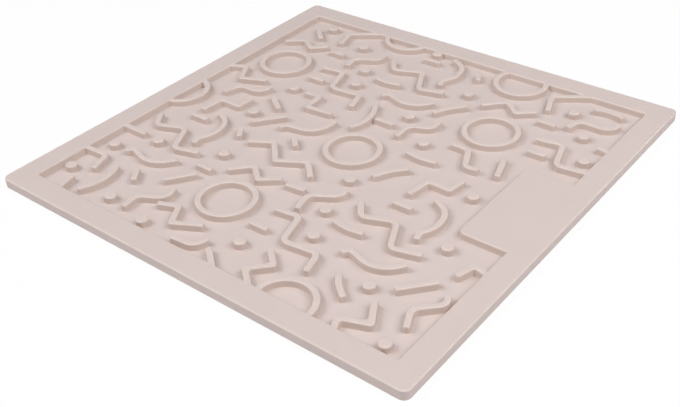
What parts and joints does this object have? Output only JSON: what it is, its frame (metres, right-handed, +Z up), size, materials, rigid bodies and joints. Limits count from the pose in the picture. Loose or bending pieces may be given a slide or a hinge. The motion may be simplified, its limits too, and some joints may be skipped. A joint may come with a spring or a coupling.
{
  "type": "lick mat",
  "caption": "Square silicone lick mat: a thin sheet with a raised border, a plain pad and a relief of low ridges, rings and studs that hold soft food.",
  "frame": {"origin": "middle of the mat's underside, on the surface that it rests on", "axes": "+Z up through the thickness, towards the ridges; +X towards the side with the plain pad; +Y to the left of +X seen from above"},
  "size_m": [0.2, 0.2, 0.0043],
  "materials": {
    "silicone": "matt moulded silicone"
  },
  "bodies": {
    "root": {"base_sheet": "silicone", "border_front": "silicone", "border_back": "silicone", "border_left": "silicone", "border_right": "silicone", "name_pad": "silicone", "ring_1": "silicone", "ring_2": "silicone", "ring_3": "silicone", "ring_4": "silicone", "ring_5": "silicone", "ring_6": "silicone", "ring_7": "silicone", "ring_8": "silicone", "round_studs": "silicone", "short_bars": "silicone", "long_bars": "silicone", "curved_bars": "silicone", "zigzag_ridges": "silicone", "crank_ridges": "silicone", "stair_ridges": "silicone", "step_ridges": "silicone", "vee_ridges": "silicone", "wave_ridges": "silicone", "hook_ridges": "silicone", "scoop_ridges": "silicone", "arc_ridges": "silicone"}
  },
  "joints": []
}
